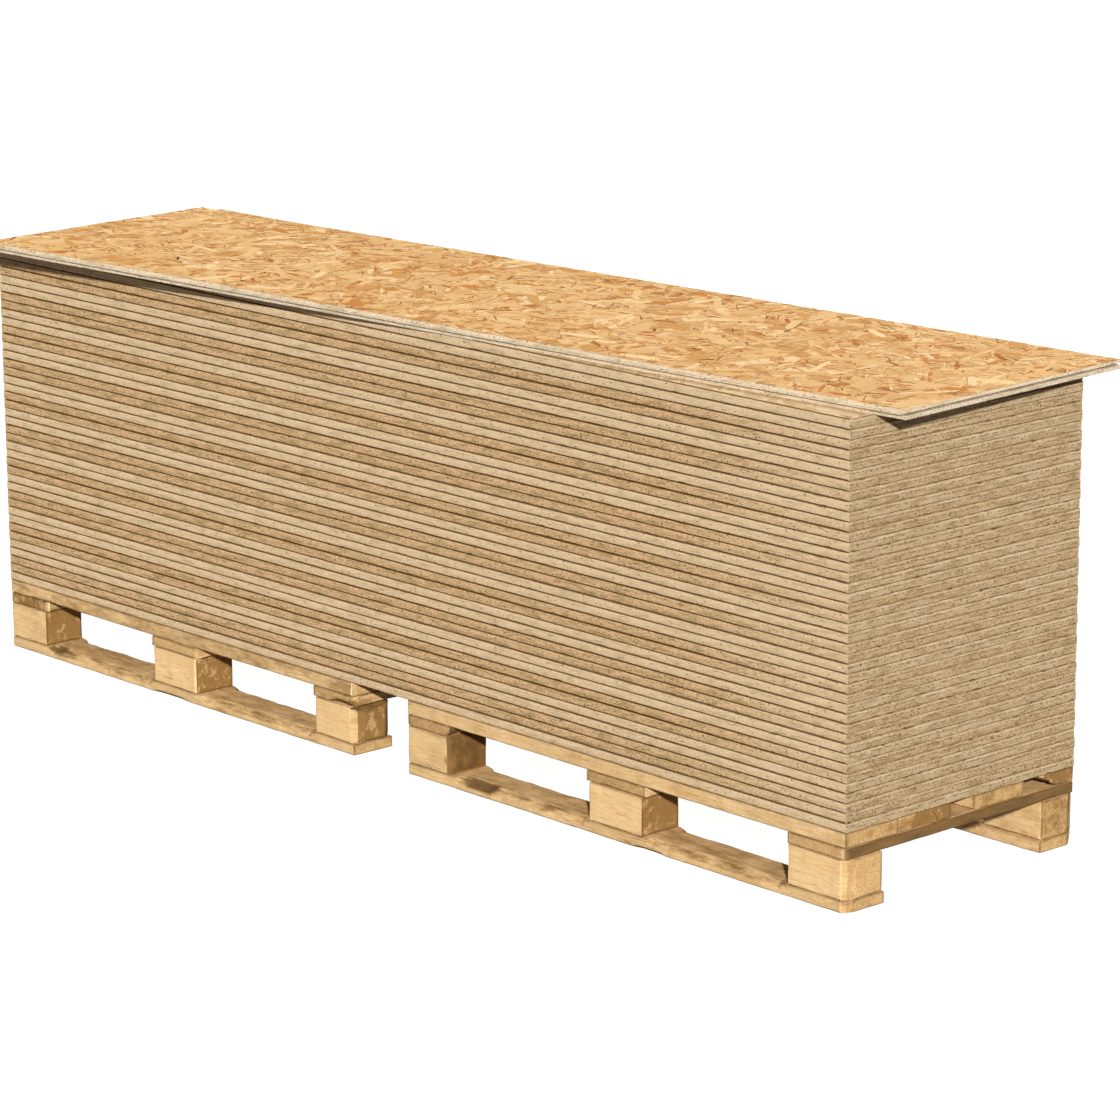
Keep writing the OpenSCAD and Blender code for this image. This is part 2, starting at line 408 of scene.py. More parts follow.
def rim(rows, column_counts):
    """Quads of four side strips whose points are stored side after side, row after row in each column."""
    faces = []
    sides = []
    start = 0
    for side, columns in enumerate(column_counts):
        column = np.arange(columns - 1)[:, None] * rows + start
        row = np.arange(rows - 1)[None, :]
        low = (column + row).ravel()
        quad = np.stack((low, low + rows, low + rows + 1, low + 1), axis=1)
        faces.append(quad)
        sides.append(np.full(len(quad), side))
        start += columns * rows
    return np.concatenate(faces), np.concatenate(sides)


def cap_ring(rows, column_counts, row):
    """Point numbers round the top or bottom, each corner once."""
    ring = []
    start = 0
    for columns in column_counts:
        ring.append(start + np.arange(columns - 1) * rows + row)
        start += columns * rows
    return np.concatenate(ring)


def skin(rows, column_counts):
    """The side quads with the side that each is on, the two caps, and all of them as faces."""
    quads, sides = rim(rows, column_counts)
    caps = [cap_ring(rows, column_counts, 0)[::-1], cap_ring(rows, column_counts, rows - 1)]
    return quads, sides, caps, quads.tolist() + [cap.tolist() for cap in caps]


def flush_panel(node, number):
    low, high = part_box(node)
    seed = 100 + number
    thickness = high.z - low.z
    corners = ((low.x, low.y), (high.x, low.y), (high.x, high.y), (low.x, high.y))
    # From the top down the panels come in pairs, one pair paler than the next
    from_top = len(PANEL_NODES) - number
    darker = from_top % 4 in (2, 3)
    spread = 2 * lattice(np.array([[number, 5, 9]]), 3)[0] - 1
    tone = (DARKER_TONE if darker else PALE_TONE) + 0.06 * spread
    points = []
    coat = []
    arris_value = []
    tone_value = []
    counts = []
    for side in range(4):
        start = np.array(corners[side])
        end = np.array(corners[(side + 1) % 4])
        length = np.linalg.norm(end - start)
        columns = int(round(length / COLUMN_STEP)) + 1
        counts.append(columns)
        along = np.linspace(0, 1, columns)
        line = start + (end - start) * along[:, None]
        inward = np.tile(-np.array(SIDE_OUTWARD[side], float), (columns, 1))
        tangent = (end - start) / length
        inward[0] += tangent
        inward[-1] -= tangent
        is_end = side % 2 == 1
        here = np.stack((along * length, np.full(columns, side * 3.0),
                         np.full(columns, float(number))), axis=1)
        sizes = []
        for edge in (0, 1):
            base = (0.8 if is_end else 1.75) + 0.5 * noise(here, (30 * MM, 1, 1), seed + 50 * edge)
            chip = lattice(np.floor(here / (COLUMN_STEP, 1, 1)).astype(np.int64), seed + 7 + edge)
            rare = 0.94 if is_end else 0.985
            chipped = np.where(chip > rare, 1.0 + 25 * (chip - rare), 0.0)
            size = (base + chipped) * MM
            size[0] = size[-1] = CORNER_ARRIS
            sizes.append(size)
        bottom, top = sizes
        zero = np.zeros(columns)
        full = np.full(columns, thickness)
        depth = 1.3 if is_end else 1.9
        # Each row round the panel: how far it stands in, its height, and how much painted shade of the gap
        # between panels it has
        rows = [
            (bottom * depth, zero, 1.0),
            (bottom * 0.7, bottom * 0.25, 1.0),
            (bottom * 0.1, bottom * 0.7, 0.75),
            (zero, bottom * 0.8 + ARRIS_HOLD, 0.0),
            (zero, full * 0.38, 0.0),
            (zero, full * 0.68, 0.0),
            (zero, full - top * 0.8 - ARRIS_HOLD, 0.0),
            (top * 0.1, full - top * 0.7, 0.75),
            (top * 0.7, full - top * 0.25, 1.0),
            (top * depth, full, 1.0),
        ]
        inset = np.stack([r[0] for r in rows], axis=1)
        height = np.stack([r[1] for r in rows], axis=1)
        relief_depth = (0.5 if is_end else 0.2) * MM
        spots = np.stack((np.broadcast_to(here[:, 0:1], inset.shape), height,
                          np.full(inset.shape, side * 5.0 + number)), axis=2)
        relief = noise(spots, (22 * MM, 6 * MM, 1), seed + 11) * relief_depth
        relief[0] = relief[-1] = 0
        relief[:, (0, -1)] = 0
        inset = inset + relief
        xy = line[:, None, :] + inward[:, None, :] * inset[:, :, None]
        side_points = np.concatenate((xy, (low.z + height)[:, :, None]), axis=2)
        points.append(side_points.reshape(-1, 3))
        run = np.broadcast_to(here[:, 0:1] + side * 3.1 + number * 7.7, inset.shape)
        coat.append(np.stack((run, height), axis=2).reshape(-1, 2))
        arris_value.append(np.tile([r[2] for r in rows], columns))
        # On the front the mottled panels look almost as pale as the others near the right end
        reach = start[0] + (end[0] - start[0]) * along
        fade = np.full(columns, END_TONE if is_end else 1.0)
        if side == 0:
            fade = 1 - 0.75 * smoothstep(FADE_FROM, FADE_TO, reach)
        tone_value.append(np.repeat(tone * fade, len(rows)))
    points = np.concatenate(points)
    coat = np.concatenate(coat)
    quads, sides, caps, faces = skin(len(rows), counts)
    flat = points[:, :2] + number * 1.37
    loop_uv = np.concatenate((coat[quads.ravel()], flat[caps[0]], flat[caps[1]]))
    face_index = np.concatenate((sides % 2, (2, 2)))
    smooth = np.concatenate((np.ones(len(quads), bool), (False, False)))
    values = {"tone": np.concatenate(tone_value), "arris": np.concatenate(arris_value)}
    piece = make_mesh("look_" + node, points, faces, loop_uv, face_index, (LONG_EDGE, SHORT_EDGE, FACE),
                      smooth, values)
    stand_for(piece, node)


for number, node in enumerate(PANEL_NODES, start=1):
    flush_panel(node, number)


# ---------------------------------------------------------------- loose panel

STRAND_LAYER = 0.9 * MM
STRAND_THICK = 0.12 * MM
GOLD = (234, 188, 125)
TAN = (226, 178, 115)
PALE_GOLD = (240, 197, 137)
AMBER = (213, 157, 86)
CREAM = (250, 214, 160)
ORANGE = (208, 136, 60)
RUST = (180, 102, 38)
UMBER = (124, 68, 22)
# For each kind of strand: how many, length and width in mm, how far it turns from the panel's length,
# how deep it may lie, and its colours with their shares
STRAND_KINDS = (
    (2300, 88, 20, 0.95, 0.0,
     ((GOLD, 28), (TAN, 22), (PALE_GOLD, 24), (AMBER, 14), (CREAM, 9), (ORANGE, 3))),
    (2200, 46, 8, 1.1, 0.3,
     ((GOLD, 17), (TAN, 13), (PALE_GOLD, 18), (AMBER, 17), (CREAM, 19), (ORANGE, 11), (RUST, 5))),
    (5000, 30, 2.5, 1.1, 0.5, ((AMBER, 24), (CREAM, 28), (ORANGE, 22), (RUST, 14), (UMBER, 12))),
)
BUNDLES = 85
# Share of the wide strands with a dark sliver along one long side, painted shadow at the strand's edge
EDGE_SHADOW_SHARE = 0.3


def clip_to_box(outline, low, high):
    """The part of a polygon that lies inside a rectangle."""
    for axis in (0, 1):
        for limit, sign in ((low[axis], 1), (high[axis], -1)):
            kept = []
            for i, here in enumerate(outline):
                before = outline[i - 1]
                inside = (here[axis] - limit) * sign >= 0
                was_inside = (before[axis] - limit) * sign >= 0
                if inside != was_inside:
                    part = (limit - before[axis]) / (here[axis] - before[axis])
                    kept.append(before + (here - before) * part)
                if inside:
                    kept.append(here)
            outline = kept
            if len(outline) < 3:
                return []
    return outline


TURN = math.radians(3.4)
spots = np.array([tuple(v.co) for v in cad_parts[LOOSE_NODE].data.vertices])
unturned = spots[:, :2] @ np.array(((math.cos(TURN), -math.sin(TURN)), (math.sin(TURN), math.cos(TURN))))
own_low = unturned.min(axis=0)
own_high = unturned.max(axis=0)
loose_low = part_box(LOOSE_NODE)[0]
TONGUE_OUT = 5.5 * MM
GROOVE_DEPTH = 5.8 * MM
# Height, how far the tongue sides stand out, how far the groove sides stand in, and how much painted shade
# the place has inside the groove and along the bottom edge
LOOSE_ROWS = (
    (0.0, 0.0, 0.0, 0.5),
    (0.6, 0.0, 0.0, 0.0),
    (3.5, 0.0, 0.0, 0.0),
    (7.15, 0.0, 0.0, 0.0),
    (7.2, 0.0, 0.05, 0.1),
    (7.55, 0.1, 0.85, 0.4),
    (7.95, 0.92, 1.0, 0.4),
    (9.2, 1.0, 1.0, 0.4),
    (10.5, 0.95, 1.0, 0.4),
    (10.9, 0.15, 0.85, 0.4),
    (11.25, 0.0, 0.05, 0.1),
    (11.35, 0.0, 0.0, 0.0),
    (14.0, 0.0, 0.0, 0.0),
    (16.6, 0.0, 0.0, 0.0),
    (17.1, 0.0, 0.0, 0.0),
)


def scattered_strands(rng, low, high):
    """(middle, angle, length, width, colour) of every strand, from the lowest to the highest."""
    found = []
    for count, long_mm, wide_mm, turn, depth, colours in STRAND_KINDS:
        shares = np.array([share for _, share in colours], float)
        for _ in range(count):
            colour = colours[rng.choice(len(colours), p=shares / shares.sum())][0]
            long = long_mm * np.clip(rng.normal(1, 0.3), 0.35, 1.7) * MM
            wide = wide_mm * np.clip(rng.gamma(4.0, 0.25), 0.25, 2.2) * MM
            angle = rng.normal(0, turn) if rng.random() < 0.75 else rng.uniform(-1.57, 1.57)
            level = rng.uniform(depth, 1)
            middle = rng.uniform(low, high)
            found.append((level, middle, angle, long, wide, colour))
            # A thin dark sliver along one long side paints the shadow at the strand's edge
            if wide_mm > 15 and rng.random() < EDGE_SHADOW_SHARE:
                side = rng.choice((-0.5, 0.5)) * wide
                place = middle + side * np.array((-math.sin(angle), math.cos(angle)))
                dark = (AMBER, RUST, UMBER)[rng.integers(0, 3)]
                found.append((level, place, angle, long * rng.uniform(0.3, 0.8),
                              rng.uniform(1.4, 2.4) * MM, dark))
    for _ in range(BUNDLES):
        # Slivers of one reddish strand that has split lengthways
        middle = rng.uniform(low, high)
        angle = rng.uniform(-1.2, 1.2)
        long = rng.uniform(28, 60) * MM
        for number in range(rng.integers(3, 7)):
            step = (number - 2) * rng.uniform(3.5, 5.5) * MM
            slide = rng.uniform(-0.2, 0.2) * long
            place = middle + np.array((slide * math.cos(angle) - step * math.sin(angle),
                                       slide * math.sin(angle) + step * math.cos(angle)))
            colour = (ORANGE, RUST, AMBER)[rng.integers(0, 3)]
            found.append((rng.uniform(0.9, 1), place, angle + rng.normal(0, 0.04),
                          long * rng.uniform(0.6, 1.1), rng.uniform(2.5, 5.5) * MM, colour))
    found.sort(key=lambda strand: strand[0])
    return [strand[1:] for strand in found]


def strand_outline(rng, middle, angle, long, wide):
    """Corners of one strand: its sides bow a little, and its ends are torn to a point or cut square."""
    if wide < 3.6 * MM:
        stations = np.array((-0.5, 0.5))
        half = np.array((rng.uniform(0.3, 1.0), 1.0)) * wide / 2
    elif wide < 5 * MM:
        stations = np.array((-0.5, 0.0, 0.5))
        half = np.array((rng.uniform(0.05, 0.6), 1.0, rng.uniform(0.05, 0.6))) * wide / 2
    else:
        stations = np.array((-0.5, -0.3, 0.28, 0.5)) + rng.uniform(-0.06, 0.06, 4)
        half = np.array((rng.uniform(0.05, 0.8), 1.0, 0.95, rng.uniform(0.05, 0.8))) * wide / 2
    upper = half * rng.uniform(0.8, 1.1, len(stations))
    lower = half * rng.uniform(0.8, 1.1, len(stations))
    spine = rng.uniform(-0.15, 0.15) * wide * np.cos(stations * 3)
    skew = rng.uniform(-0.6, 0.6) * wide
    along = np.concatenate((stations * long - skew / 2, stations[::-1] * long + skew / 2))
    across = np.concatenate((-lower + spine, (upper + spine)[::-1]))
    return np.stack((middle[0] + along * math.cos(angle) - across * math.sin(angle),
                     middle[1] + along * math.sin(angle) + across * math.cos(angle)), axis=1)


def loose_panel():
    rng = np.random.default_rng(41)
    cos_turn, sin_turn = math.cos(TURN), math.sin(TURN)

    def out(points):
        """From the panel's own directions to the object's."""
        turned = np.array(points, float)
        turned[:, 0] = points[:, 0] * cos_turn - points[:, 1] * sin_turn
        turned[:, 1] = points[:, 0] * sin_turn + points[:, 1] * cos_turn
        return turned

    face_low = own_low + TONGUE_OUT
    face_high = own_high
    z = np.array([r[0] for r in LOOSE_ROWS]) * MM
    tongue = np.array([r[1] for r in LOOSE_ROWS]) * TONGUE_OUT
    groove = np.array([r[2] for r in LOOSE_ROWS]) * GROOVE_DEPTH
    shade = np.array([r[3] for r in LOOSE_ROWS])
    left = face_low[0] - tongue
    right = face_high[0] - groove
    front = face_low[1] - tongue
    back = face_high[1] - groove
    length = face_high[0] - face_low[0]
    width = face_high[1] - face_low[1]
    counts = [int(round(d / (8 * MM))) + 1 for d in (length, width, length, width)]
    corner_x = ((left, right), (right, right), (right, left), (left, left))
    corner_y = ((front, front), (front, back), (back, back), (back, front))
    points = []
    coat = []
    arris = []
    for side, columns in enumerate(counts):
        share = np.linspace(0, 1, columns)[:, None]
        x = corner_x[side][0] + (corner_x[side][1] - corner_x[side][0]) * share
        y = corner_y[side][0] + (corner_y[side][1] - corner_y[side][0]) * share
        run = share * (length, width, length, width)[side] + side * 2.9
        grid = np.stack((x, y, np.broadcast_to(z, x.shape)), axis=2)
        samples = np.stack((np.broadcast_to(run, x.shape), np.broadcast_to(z, x.shape),
                            np.full(x.shape, side * 1.0)), axis=2)
        relief = noise(samples, (14 * MM, 4 * MM, 1), 71) * 0.5 * MM
        relief[0] = relief[-1] = 0
        outward = np.array(SIDE_OUTWARD[side] + (0,), float)
        grid = grid - relief[:, :, None] * outward
        points.append(grid.reshape(-1, 3))
        coat.append(samples[:, :, :2].reshape(-1, 2))
        # The painted shade goes only on the grooved right and back sides
        arris.append(np.tile(shade if side in (1, 2) else shade * 0.0, columns))
    points = np.concatenate(points)
    coat = np.concatenate(coat)
    quads, sides, caps, faces = skin(len(LOOSE_ROWS), counts)
    loop_uv = [np.concatenate((coat[quads.ravel()], points[caps[0], :2], points[caps[1], :2]))]
    face_index = [np.concatenate((sides * 0, (1, 2)))]
    smooth = [np.zeros(len(faces), bool)]
    all_points = [points]
    # What shows between the strands has a strand's colour
    strand_colour = [np.tile(shown(*TAN, TOP_LIGHT), (len(points), 1))]
    arris = np.concatenate(arris)

    total = len(points)
    margin = 0.3 * MM
    base = PANEL_T - STRAND_LAYER
    strands = scattered_strands(rng, face_low - 20 * MM, face_high + 20 * MM)
    for k, (middle, angle, long, wide, colour) in enumerate(strands):
        outline = strand_outline(rng, middle, angle, long, wide)
        outline = clip_to_box(list(outline), face_low + margin, face_high - margin)
        if not outline:
            continue
        outline = np.array(outline)
        count = len(outline)
        level = base + STRAND_THICK + (STRAND_LAYER - STRAND_THICK) * (k + 1) / (len(strands) + 2)
        own = outline - middle
        strand_uv = np.stack((own[:, 0] * math.cos(angle) + own[:, 1] * math.sin(angle),
                              -own[:, 0] * math.sin(angle) + own[:, 1] * math.cos(angle)), axis=1)
        strand_uv = strand_uv + rng.uniform(0, 30, 2)
        top = np.column_stack((outline, np.full(count, level)))
        foot = np.column_stack((outline, np.full(count, level - STRAND_THICK)))
        all_points.append(np.concatenate((top, foot)))
        ring = np.arange(count)
        ahead = (ring + 1) % count
        wall = np.stack((total + count + ring, total + count + ahead, total + ahead, total + ring), axis=1)
        faces.append((total + ring).tolist())
        faces.extend(wall.tolist())
        both = np.concatenate((strand_uv, strand_uv))
        loop_uv.append(strand_uv)
        loop_uv.append(both[(wall - total).ravel()])
        face_index.append(np.full(1 + count, 2))
        smooth.append(np.zeros(1 + count, bool))
        tint = np.array(shown(*colour, TOP_LIGHT))
        tint[:3] *= rng.uniform(0.95, 1.05) * rng.uniform(0.98, 1.02, 3)
        strand_colour.append(np.tile(tint, (2 * count, 1)))
        total += 2 * count

    points = np.concatenate(all_points)
    points = out(points)
    points[:, 2] += loose_low.z
    values = {
        "tone": np.full(total, 0.4),
        "arris": np.concatenate((arris, np.zeros(total - len(arris)))),
    }
    piece = make_mesh("look_" + LOOSE_NODE, points, faces, np.concatenate(loop_uv),
                      np.concatenate(face_index), (LOOSE_EDGE, FACE, STRAND), np.concatenate(smooth), values,
                      {"strand": np.concatenate(strand_colour)})
    stand_for(piece, LOOSE_NODE)


loose_panel()


# ---------------------------------------------------------------- pallets

FACES = {"left": (0, 0), "right": (0, 1), "front": (1, 0), "back": (1, 1), "bottom": (2, 0), "top": (2, 1)}


def solid_boxes(node):
    """(low, high) of each separate solid of a CAD node, from front to back."""
    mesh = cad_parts[node].data
    spots = [tuple(round(c, 6) for c in v.co) for v in mesh.vertices]
    parent = {spot: spot for spot in spots}

    def root(spot):
        while parent[spot] != spot:
            spot = parent[spot]
        return spot

    for polygon in mesh.polygons:
        first = root(spots[polygon.vertices[0]])
        for v in polygon.vertices[1:]:
            parent[root(spots[v])] = first
    groups = {}
    for spot in parent:
        groups.setdefault(root(spot), []).append(spot)
    boxes = [(np.min(g, axis=0), np.max(g, axis=0)) for g in groups.values()]
    return sorted(boxes, key=lambda b: (b[0][1], b[0][0]))


# Distances from the edges at which a board's section and its length have points
SECTION_FINE = (0.0, 1.2 * MM, 3.5 * MM, 8 * MM)
LENGTH_FINE = (0.0, 1.5 * MM, 4 * MM, 8 * MM, 14 * MM, 20 * MM, 26 * MM)


def places(size, step, fine):
    """The fine distances from both ends of a length, and places about a step apart between them."""
    fine = [f for f in fine if f < size / 2 - 1 * MM]
    count = max(1, int(round((size - 2 * fine[-1]) / step)))
    middle = np.linspace(fine[-1], size - fine[-1], count + 1)[1:-1]
    return np.array(fine + list(middle) + [size - f for f in fine[::-1]])


# Bevels wider than this leave no dark edge
WIDE_CUT = 8 * MM


class Timber:
    """A rough-sawn board or block inside a box, lofted along X or Y."""

    def __init__(self, low, high, along, seed, step=12 * MM):
        self.low, self.high = np.array(low), np.array(high)
        self.seed = seed
        size = self.high - self.low
        s_axis, p_axis = (0, 1) if along == "x" else (1, 0)
        p = places(size[p_axis], step, SECTION_FINE)
        q = places(size[2], step, SECTION_FINE)
        ring_p = np.concatenate((p[:-1], np.full(len(q) - 1, size[p_axis]), p[:0:-1], np.zeros(len(q) - 1)))
        ring_q = np.concatenate((np.zeros(len(p) - 1), q[:-1], np.full(len(p) - 1, size[2]), q[:0:-1]))
        ring = np.stack((ring_p, ring_q), axis=1)
        centre = np.array((size[p_axis], size[2])) / 2
        stations = places(size[s_axis], step, LENGTH_FINE)
        layers = [np.column_stack((np.full(len(ring), s), ring)) for s in stations]
        caps = []
        for s in (stations[0], stations[-1]):
            for share in (0.86, 0.66, 0.44, 0.22):
                inner = centre + (ring - centre) * share
                caps.append(np.column_stack((np.full(len(ring), s), inner)))
        local = np.concatenate(layers + caps)
        n = len(ring)
        j = np.arange(n)
        j1 = (j + 1) % n

        def band(a, b):
            """Quads between two rings, given by their first points."""
            return np.stack((a + j, a + j1, b + j1, b + j), axis=1)

        faces = [band(i * n, (i + 1) * n) for i in range(len(stations) - 1)]
        cap_start = len(stations) * n
        chains = ([0] + [cap_start + k * n for k in range(4)],
                  [(len(stations) - 1) * n] + [cap_start + (4 + k) * n for k in range(4)])
        polygons = []
        for chain, flipped in zip(chains, (True, False)):
            for a, b in zip(chain, chain[1:]):
                faces.append(band(a, b)[:, (0, 3, 2, 1)] if flipped else band(a, b))
            last = chain[-1] + j
            polygons.append((last[::-1] if flipped else last).tolist())
        if along == "x":
            world = self.low + local
        else:
            world = np.stack((self.high[0] - local[:, 1], self.low[1] + local[:, 0],
                              self.low[2] + local[:, 2]), axis=1)
        self.points = world
        self.rest = world.copy()
        self.faces = np.concatenate(faces).tolist() + polygons
        self.along = along
        self.fresh = np.zeros(len(world))
        self.bark_and_shade = np.zeros(len(world))
        self.cut = np.zeros(len(world))

    def depth(self, face, points=None):
        """How far the points, or else the worn ones, lie in from one side of the box."""
        points = self.points if points is None else points
        axis, upper = FACES[face]
        return self.high[axis] - points[:, axis] if upper else points[:, axis] - self.low[axis]

    def push(self, face, amount):
        axis, upper = FACES[face]
        self.points[:, axis] += -amount if upper else amount

    def rough(self, amount, size=18 * MM):
        """Dents each face by up to that amount."""
        depths = {face: self.depth(face) for face in FACES}
        for number, face in enumerate(FACES):
            on = depths[face] < 0.01 * MM
            bumps = noise(self.rest + number * 3.3, size, self.seed + number)
            fine = noise(self.rest + number * 5.3, size / 4, self.seed + 20 + number)
            self.push(face, np.where(on, amount * (0.6 * bumps + 0.4 * fine), 0.0))

    def bevel(self, first, second, first_size, second_size,
              within=None, wobble=0.25, axis=0, ramp=20 * MM, look=None):
        """Slopes the edge between two faces. within limits it to a stretch along an axis.
        look is "fresh" for clean cut wood and "bark" for a waney edge."""
        amount = np.ones(len(self.points))
        if within is not None:
            start, end = within
            place = self.rest[:, axis] - self.low[axis]
            amount = smoothstep(start - ramp, start + ramp, place)
            amount = amount * (1 - smoothstep(end - ramp, end + ramp, place))
        amount = amount * (1 - wobble + 2 * wobble * noise(self.rest, 25 * MM, self.seed + 31))
        size1 = np.maximum(first_size * amount, 1e-7)
        size2 = np.maximum(second_size * amount, 1e-7)
        reach = self.depth(first) / size1 + self.depth(second) / size2
        missing = np.clip(1 - reach, 0, 1)
        self.push(first, missing * size1 / 2)
        self.push(second, missing * size2 / 2)
        if first_size > WIDE_CUT:
            np.maximum(self.cut, np.clip(missing * 8, 0, 1), out=self.cut)
        if look:
            marked = getattr(self, look)
            np.maximum(marked, np.clip(missing * 5, 0, 1) * (amount > 0.3), out=marked)

    def soften(self, size):
        """Rounds all twelve edges a little."""
        pairs = (("front", "top"), ("front", "bottom"), ("back", "top"), ("back", "bottom"),
                 ("left", "front"), ("left", "back"), ("right", "front"), ("right", "back"),
                 ("left", "top"), ("left", "bottom"), ("right", "top"), ("right", "bottom"))
        for first, second in pairs:
            self.bevel(first, second, size, size, wobble=0.45)

    def rest_depths(self):
        """Distance of each point from the six sides of the box before it was worn, in the order of FACES."""
        return np.stack([self.depth(face, self.rest) for face in FACES], axis=1)

    def nearest_side(self):
        """Number in FACES of the side that each point lies on."""
        return self.rest_depths().argmin(axis=1)

    def darkening(self, stains_and_shade):
        """Stain, with painted shade on some sides, of each point from its side; stains_and_shade gives one
        for some sides, and one for the rest.
        """
        own = np.array([stains_and_shade.get(face, stains_and_shade["rest"]) for face in FACES])[self.nearest_side()]
        return own + self.cut * CUT_STAIN

    def end(self):
        """1 on the sawn-off ends, where the grain shows end on."""
        sides = ("left", "right") if self.along == "x" else ("front", "back")
        return np.isin(self.nearest_side(), [list(FACES).index(side) for side in sides]).astype(float)

    # Paints a whole side the bark colour, which also serves as painted shade
    def paint_bark_and_shade_side(self, side):
        self.bark_and_shade[self.nearest_side() == list(FACES).index(side)] = 1.0

    def edge(self):
        """1 on the edges of the box that are not cut off, and 0 from a few millimetres away."""
        second = np.sort(self.rest_depths(), axis=1)[:, 1]
        return (1 - smoothstep(0.5 * MM, 3.6 * MM, second)) * (1 - self.cut)

    def grain(self):
        """Place of each point along and across the trunk that the piece was cut from."""
        rng = np.random.default_rng(self.seed)
        size = self.high - self.low
        middle = (self.low + self.high) / 2
        own = self.rest - middle
        if self.along == "y":
            own = own[:, (1, 0, 2)]
        pith = np.array((rng.uniform(-5, 5), rng.uniform(-0.06, 0.06),
                         rng.choice((-1, 1)) * rng.uniform(0.03, 0.09)))
        spin = rng.uniform(-0.02, 0.02)
        turned = own.copy()
        turned[:, 1] += own[:, 0] * spin
        return turned + pith


def join(node, timbers, stains_and_shade):
    points = np.concatenate([t.points for t in timbers])
    grain = np.concatenate([t.grain() for t in timbers])
    own = [{"stain_and_shade": t.darkening(s), "edge": t.edge(), "end": t.end(), "fresh": t.fresh, "bark_and_shade": t.bark_and_shade}
           for t, s in zip(timbers, stains_and_shade)]
    values = {key: np.concatenate([v[key] for v in own]) for key in own[0]}
    faces = []
    start = 0
    for t in timbers:
        faces.extend([[v + start for v in face] for face in t.faces])
        start += len(t.points)
    flat = np.concatenate([np.array(face) for face in faces])
    loop_uv = grain[flat][:, :2]
    piece = make_mesh("look_" + node, points, faces, loop_uv, np.zeros(len(faces)), (PINE,),
                      np.zeros(len(faces), bool), values, None, {"grain": grain})
    stand_for(piece, node)


# Corner cuts and runner slopes, as on the solids
CORNER_CUT_X = 14 * MM
CORNER_CUT_Y = 26 * MM
INNER_CUT_X = 9 * MM
INNER_CUT_Y = 33 * MM
SLOPE_H = 12 * MM
SLOPE_W = 16 * MM
# How stained each side of a piece is; a side that isn't named takes the rest
RUNNER_STAIN = {"top": 0.65, "front": 0.4, "rest": 0.5}
# The high right values give the right sides of the front blocks stain and painted shade of the deck's shadow
# together
BLOCK_STAIN_AND_SHADE = {"front": 0.05, "right": 2.2, "rest": 0.6}
LEFT_BLOCK_STAIN_AND_SHADE = {"front": 0.3, "right": 2.4, "rest": 0.6}
END_BLOCK_STAIN = {"front": 0.0, "right": 0.0, "rest": 0.35}
BACK_BLOCK_STAIN = {"front": 0.5, "right": 1.0, "rest": 0.4}
CROSS_STAIN = {"front": 0.55, "rest": 0.85}
DARK_CROSS_STAIN = {"front": 1.5, "rest": 1.3}
PALE_CROSS_STAIN = {"front": 0.15, "rest": 0.6}
DARK_CROSS_BOARDS = ("left_pallet_cross_board_left",)
PALE_CROSS_BOARDS = ("left_pallet_cross_board_middle", "right_pallet_cross_board_right")
# Sides painted the dark bark colour all over: node and side. On the left block of the right pallet this is
# painted shade of its right side, which lies in shade
BARK_AND_SHADE_SIDES = {"right_pallet_cross_board_right": "right", "right_pallet_blocks_left": "right"}
FRONT_DECK_STAINS = {
    "left_pallet": {"front": 0.75, "right": 0.4, "rest": 0.4},
    "right_pallet": {"front": 0.3, "right": 0.4, "rest": 0.3},
}
# From the second deck board to the back one; the high right values are stain and painted shade on the ends
# of the second and back boards
OTHER_DECK_STAINS_AND_SHADE = (
    {"right": 2.0, "rest": 0.6},
    {"right": 0.8, "rest": 0.5},
    {"right": 2.4, "rest": 0.5},
)
# Extra stain on the slanted corner cuts
CUT_STAIN = 0.5
